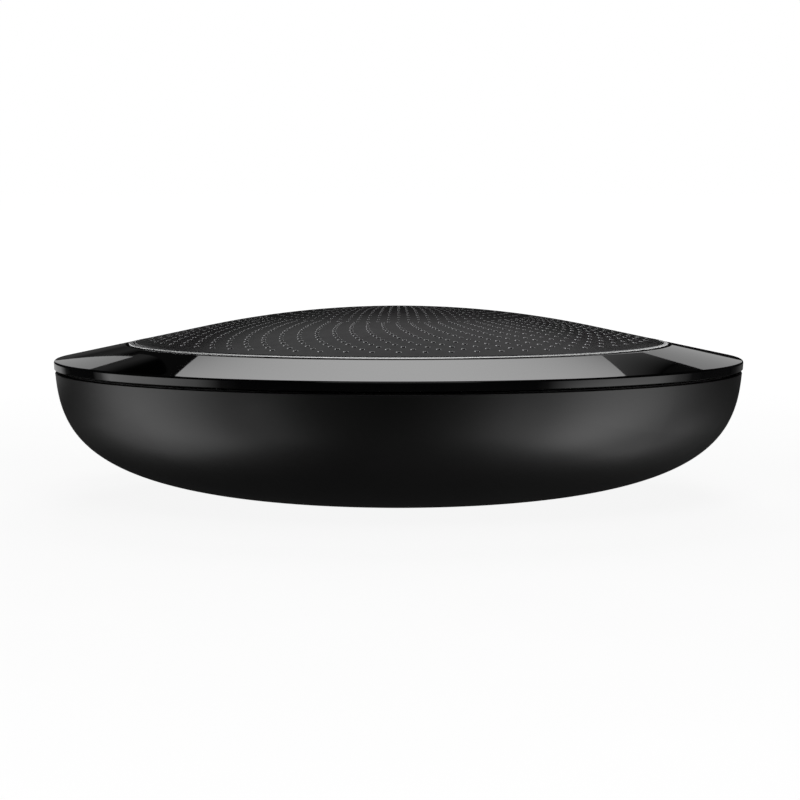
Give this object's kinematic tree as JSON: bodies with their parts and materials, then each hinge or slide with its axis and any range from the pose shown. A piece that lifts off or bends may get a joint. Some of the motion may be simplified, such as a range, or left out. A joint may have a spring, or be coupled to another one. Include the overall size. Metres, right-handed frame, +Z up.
{
  "type": "conference speakerphone",
  "caption": "Round low table speakerphone: satin bowl, glossy sloping touch ring, thin silver trim and a perforated dome over an upward-facing loudspeaker.",
  "frame": {"origin": "centre of the foot ring's underside, on the table", "axes": "+Z up along the loudspeaker's axis, -Y the front, +Y the side with the plug recess, +X the right seen from the front"},
  "size_m": [0.12, 0.12, 0.0327],
  "materials": {
    "satin_black": "satin, fine moulded texture",
    "gloss_black": "high gloss",
    "grille": "satin dark grey, perforated",
    "silver_trim": "fine brushed",
    "rubber": "matte",
    "inner_black": "matte moulded",
    "acoustic_cloth": "fine open weave",
    "light_guide": "milky, translucent",
    "circuit_board": "solder mask",
    "steel": "plated",
    "stamped_steel": "black coated",
    "screw_steel": "zinc plated",
    "magnet": "nickel plated",
    "copper": "enamelled winding",
    "cone": "matte pulp",
    "spider_cloth": "resin-treated weave",
    "ivory_plastic": "matte",
    "black_insulator": "matte",
    "battery_wrap": "shrink film",
    "red_wire": "insulation",
    "black_wire": "insulation",
    "ribbon_film": "polyimide film"
  },
  "bodies": {
    "housing": {"acoustic_cloth": "acoustic_cloth", "battery_connector": "ivory_plastic", "battery_lead_negative": "black_wire", "battery_lead_positive": "red_wire", "battery_pack": "battery_wrap", "board_screw_1": "screw_steel", "board_screw_2": "screw_steel", "board_screw_3": "screw_steel", "chamber_screw_1": "screw_steel", "chamber_screw_2": "screw_steel", "chamber_screw_3": "screw_steel", "chamber_screw_4": "screw_steel", "control_ring": "gloss_black", "driver_basket": "stamped_steel", "driver_magnet": "magnet", "driver_screw_1": "screw_steel", "driver_screw_2": "screw_steel", "driver_screw_3": "screw_steel", "driver_screw_4": "screw_steel", "driver_top_plate": "steel", "driver_yoke": "steel", "foot_ring": "rubber", "housing_screw_1": "screw_steel", "housing_screw_2": "screw_steel", "housing_screw_3": "screw_steel", "housing_screw_4": "screw_steel", "light_guide": "light_guide", "lower_shell": "satin_black", "main_board": "circuit_board", "mic_board_1": "circuit_board", "mic_board_2": "circuit_board", "mic_board_3": "circuit_board", "mic_boot_1": "rubber", "mic_boot_2": "rubber", "mic_boot_3": "rubber", "mic_capsule_1": "steel", "mic_capsule_2": "steel", "mic_capsule_3": "steel", "port_bezel": "inner_black", "power_switch": "ivory_plastic", "shield_can": "steel", "speaker_chamber": "inner_black", "speaker_connector": "ivory_plastic", "speaker_grille": "grille", "speaker_wire_negative": "black_wire", "speaker_wire_positive": "red_wire", "spider": "spider_cloth", "surround": "rubber", "terminal_strip": "ivory_plastic", "top_frame": "inner_black", "touch_board": "circuit_board", "touch_ribbon": "ribbon_film", "trim_ring": "silver_trim", "usb_c_receptacle": "steel", "usb_c_tongue": "black_insulator"},
    "diaphragm": {"cone": "cone", "dust_cap": "cone", "voice_coil": "copper"},
    "power_key": {"power_button": "satin_black"}
  },
  "joints": [
    {"name": "cone_travel", "type": "slide", "parent": "housing", "child": "diaphragm", "axis": [0, 0, 1], "range_m": [-0.001, 0.001], "stiffness_N_per_m": 2000, "deforming": ["surround", "spider"]},
    {"name": "power_button_press", "type": "slide", "parent": "housing", "child": "power_key", "axis": [0.4226, -0.9063, 0], "range_m": [0, 0.00045], "stiffness_N_per_m": 1500}
  ]
}
